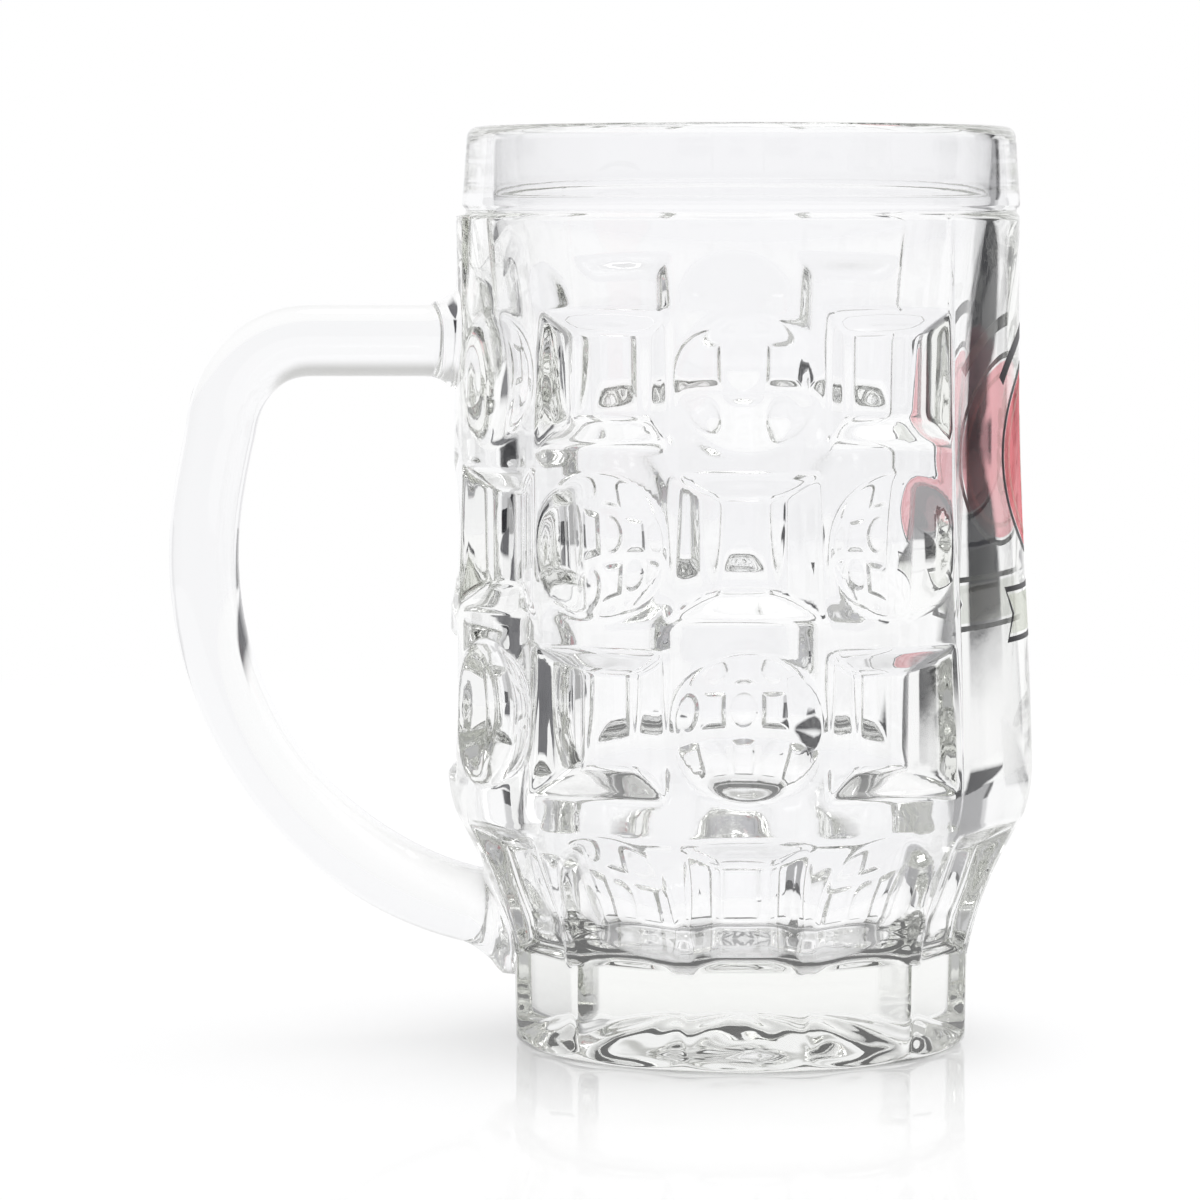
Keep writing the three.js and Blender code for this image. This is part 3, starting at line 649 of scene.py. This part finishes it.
ear_low, ear_top = badge_z - ear_h / 2, badge_z + ear_h / 2 - ear_tip
ear_step = ear_h / (ear_pairs + 2)
stem_top = ear_low + ear_step * stem_share
stem = [(-stem_w / 2, ear_low), (stem_w / 2, ear_low), (stem_w / 2, stem_top), (-stem_w / 2, stem_top)]
ear = [stem, grain(0, ear_top - ear_tip / 5, 0)]
for pair in range(ear_pairs):
    z = ear_low + ear_step * (pair + grain_start)
    ear += [grain(grain_out, z, -grain_lean), grain(-grain_out, z, grain_lean)]
film("mug_grain_ear", ear, 1, cream_enamel, "print_grain_ear")
arch_low = outline_out + arch_band_rise
arch_start, arch_end = math.pi / 2 - arch_half, math.pi / 2 + arch_half
arched_band = oval(arch_low + arch_band_w, arch_start, arch_end, arch_steps)
arched_band += oval(arch_low, arch_start, arch_end, arch_steps)[::-1]
film("mug_arched_band", [arched_band], 0, dark_enamel, "print_arched_band")
film("mug_ribbon", [ribbon_outline(0)], 0, cream_enamel, "print_ribbon")
film("mug_ribbon_outline", [ribbon_outline(outline_out), ribbon_outline(line_gap)], 0, dark_enamel,
     "print_ribbon_outline")

# Studio light
# A white sweep stands behind the mug and a grey sheet to its left. Grey walls beside the sweep, the
# ceiling and the dim room draw the grey lines in the glass. A broad soft lamp hangs above.
white, sweep_white, sheet_grey = (1, 1, 1, 1), (0.99, 0.99, 1, 1), (0.4, 0.4, 0.4, 1)
room, flag_dark, wall_grey = (0.5, 0.5, 0.52, 1), (0.02, 0.02, 0.025, 1), (0.62, 0.62, 0.63, 1)
ceiling_grey, ceiling_low, ceiling_high = (0.58, 0.58, 0.57, 1), 22, 40
sweep_start, sweep_end = -46, 39
sheet_start, sheet_end = -115, -64
right_flag_end, side_end, side_grey = 42, 76, (0.35, 0.35, 0.36, 1)
edge_soft = 1.5
lamp_width, lamp_watts, lamp_place, lamp_turn = 1.2, 8, (0.3, 0.2, 1.5), (-8, 11)


def studio_colour(tree, east, north, flag):
    """What stands round the mug in one direction, by its bearing from the sweep's middle."""
    bearing = tree.maths("ARCTAN2", east, north)

    def over(below, start, end, colour):
        away = tree.maths("ABSOLUTE", bearing - math.radians((start + end) / 2))
        half = (end - start) / 2
        share = tree.node("ShaderNodeMapRange", {"interpolation_type": "SMOOTHSTEP"}, {
            "Value": away,
            "From Min": math.radians(half + edge_soft),
            "From Max": math.radians(half - edge_soft),
        })
        return tree.node("ShaderNodeMix", {"data_type": "RGBA"}, {0: share, 6: below, 7: colour}, 2)

    colour = over(room, sweep_start, sweep_end, sweep_white)
    colour = over(colour, sheet_start, sheet_end, sheet_grey)
    colour = over(colour, right_flag_end, side_end, side_grey)
    colour = over(colour, sweep_end, right_flag_end, flag)
    return over(colour, sheet_end, sweep_start, flag)


def seen_by(tree, *kinds):
    """1 for rays of the given kinds, 0 for others."""
    rays = tree.node("ShaderNodeLightPath", {}, {}).socket.node.outputs
    share = Value(tree.tree, rays[kinds[0]])
    for kind in kinds[1:]:
        share = tree.maths("MAXIMUM", share, Value(tree.tree, rays[kind]))
    return share


world = bpy.data.worlds.new("studio")
bpy.context.scene.world = world
world.use_nodes = True
world.node_tree.nodes.clear()
tree = Value(world.node_tree)
way = tree.node("ShaderNodeTexCoord", {}, {}, "Generated")
parts = tree.node("ShaderNodeSeparateXYZ", {}, {"Vector": way}).socket.node.outputs
studio = studio_colour(tree, Value(tree.tree, parts["X"]), Value(tree.tree, parts["Y"]), wall_grey)
glassy = seen_by(tree, "Is Glossy Ray", "Is Transmission Ray")
high = tree.node("ShaderNodeMapRange", {"interpolation_type": "SMOOTHSTEP"}, {
    "Value": Value(tree.tree, parts["Z"]),
    "From Min": math.sin(math.radians(ceiling_low)),
    "From Max": math.sin(math.radians(ceiling_high)),
})
studio = tree.node("ShaderNodeMix", {"data_type": "RGBA"}, {0: high, 6: studio, 7: ceiling_grey}, 2)
shown = tree.node("ShaderNodeMix", {"data_type": "RGBA"}, {0: glassy, 6: white, 7: studio}, 2)
light = tree.node("ShaderNodeBackground", {}, {"Color": shown, "Strength": 1.0})
tree.node("ShaderNodeOutputWorld", {}, {"Surface": light})
lamp_data = bpy.data.lights.new("soft_lamp", "AREA")
lamp_data.shape = "DISK"
lamp_data.size = lamp_width
lamp_data.energy = lamp_watts
lamp = bpy.data.objects.new("soft_lamp", lamp_data)
bpy.context.collection.objects.link(lamp)
lamp.location = lamp_place
lamp.rotation_euler = (math.radians(lamp_turn[0]), math.radians(lamp_turn[1]), 0)

# Floor
# A sheet of glossy white acrylic, which shows a soft mirror image of the foot. The camera sees it go over
# into the white sweep.
# Near the mug the floor glows in part: painted light that lifts the mug's shadow for the camera, and
# painted light around and under the mug for rays that come through the glass. Dark flags stand far off on
# it, and a cloth lies at each side of the mug, black at the right and grey at the left, which the glass
# shows as dark bars.
floor_size = 60.0
acrylic_white, cloth_grey = (0.95, 0.95, 0.95, 1), (0.14, 0.14, 0.15, 1)
sweep_near, sweep_far = 0.6, 0.7
# Painted light: the share of white glow that rays through the glass see on the floor. It is low at the
# foot's edge, higher further out and under the push-up, and takes the place of light that the glass lets
# through.
contact_glow, open_glow, open_reach = 0.05, 0.7, 4.5
hollow_glow, hollow_edge, hollow_full = 0.45, 0.95, 0.7
# Painted light: the share of white glow that the camera sees on the floor near the mug, from the foot's
# edge outwards. It lifts the mug's shadow towards white.
edge_white, open_white, white_reach = 0.25, 0.8, 3.2
cloth_way, cloth_half, cloth_soft, cloths_turn = 45, 14, 3, 5
cloth_start, cloth_full, cloth_end, cloth_gone, cloth_slant = 0.29, 0.36, 0.6, 0.7, 0.95
bpy.ops.object.select_all(action="DESELECT")
bpy.ops.mesh.primitive_plane_add(size=floor_size)
floor = bpy.context.object
floor.name = "studio_floor"
floor_white, tree = blank_material("white_acrylic")


def ramp(value, none_at, full_at, none=0.0, full=1.0):
    """A smooth change from one share to another between two values."""
    return tree.node("ShaderNodeMapRange", {"interpolation_type": "SMOOTHSTEP"}, {
        "Value": value, "From Min": none_at, "From Max": full_at, "To Min": none, "To Max": full})


def blend(share, below, colour):
    """One colour laid over another by a share."""
    return tree.node("ShaderNodeMix", {"data_type": "RGBA"}, {0: share, 6: below, 7: colour}, 2)


place = tree.node("ShaderNodeTexCoord", {}, {}, "Object")
parts = tree.node("ShaderNodeSeparateXYZ", {}, {"Vector": place}).socket.node.outputs
east, north = Value(tree.tree, parts["X"]), Value(tree.tree, parts["Y"])
plain = seen_by(tree, "Is Camera Ray")
glassy = seen_by(tree, "Is Glossy Ray", "Is Transmission Ray")
shown = blend(glassy, white, studio_colour(tree, east, north, flag_dark))
away = tree.node("ShaderNodeVectorMath", {"operation": "LENGTH"}, {0: place}, "Value")
beside = tree.node("ShaderNodeVectorMath", {"operation": "DISTANCE"},
                   {0: place, 1: (axis_x * mm, 0, 0)}, "Value")
far = ramp(away, sweep_near, sweep_far)
near = 1 - far
# Painted light seen through the glass: the floor's glow share around the mug and under its push-up.
glass_glow = ramp(beside, contact_r * mm, open_reach * contact_r * mm, contact_glow, open_glow)
glass_glow = glass_glow + ramp(beside, hollow_edge * push_up_r * mm, hollow_full * push_up_r * mm,
                               0.0, hollow_glow)
# Painted light for the camera: the floor's glow share near the mug, which lightens its shadow.
camera_glow = ramp(beside, contact_r * mm, white_reach * contact_r * mm, edge_white, open_white)
bearing = tree.maths("ARCTAN2", east - axis_x * mm, north)
aside = tree.maths("ABSOLUTE", bearing + math.radians(cloths_turn))
aside = aside - math.radians(cloth_way + cloths_turn)
cloth = ramp(tree.maths("ABSOLUTE", aside), math.radians(cloth_half + cloth_soft), math.radians(cloth_half))
cloth = cloth * ramp(beside, cloth_start, cloth_full)
cloth = cloth * ramp(beside - cloth_slant * aside, cloth_gone, cloth_end) * glassy
# The share of glow: the sweep far off, and the painted light near the mug.
lit = tree.maths("MAXIMUM", plain * (far + near * camera_glow), glassy * (far + near * glass_glow))
lit = tree.maths("MAXIMUM", lit, cloth)
cloth_tone = blend(tree.maths("LESS_THAN", bearing, 0.0), flag_dark, cloth_grey)
glow = blend(cloth, blend(far, white, shown), cloth_tone)
acrylic = tree.node("ShaderNodeBsdfPrincipled", {}, {
    "Base Color": acrylic_white,
    "Roughness": 0.02,
    "IOR": 1.45,
})
# Emission for the white sweep and for the painted light on the floor near the mug.
sweep_and_glow = tree.node("ShaderNodeEmission", {}, {"Color": glow, "Strength": 1.0})
surface = tree.node("ShaderNodeMixShader", {}, {0: lit, 1: acrylic, 2: sweep_and_glow})
tree.node("ShaderNodeOutputMaterial", {}, {"Surface": surface})
floor.data.materials.append(floor_white)
floor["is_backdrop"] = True

# Camera
# A long lens stands level with the groove below the rim and looks slightly down. Light may pass many
# walls of glass on its way to it.
lens_mm, sensor_mm = 151.5, 36
camera_place, camera_tilt = (-0.00025, -0.8597, 0.1409), 4.36
camera_data = bpy.data.cameras.new("camera")
camera_data.sensor_width = sensor_mm
camera_data.lens = lens_mm
camera = bpy.data.objects.new("camera", camera_data)
bpy.context.collection.objects.link(camera)
camera.location = camera_place
camera.rotation_euler = (math.radians(90 - camera_tilt), 0, 0)
scene = bpy.context.scene
scene.camera = camera
scene.view_settings.view_transform = "Standard"
scene.cycles.max_bounces = 32
scene.cycles.transmission_bounces = 24
scene.cycles.glossy_bounces = 16
scene.cycles.diffuse_bounces = 3

low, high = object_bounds()
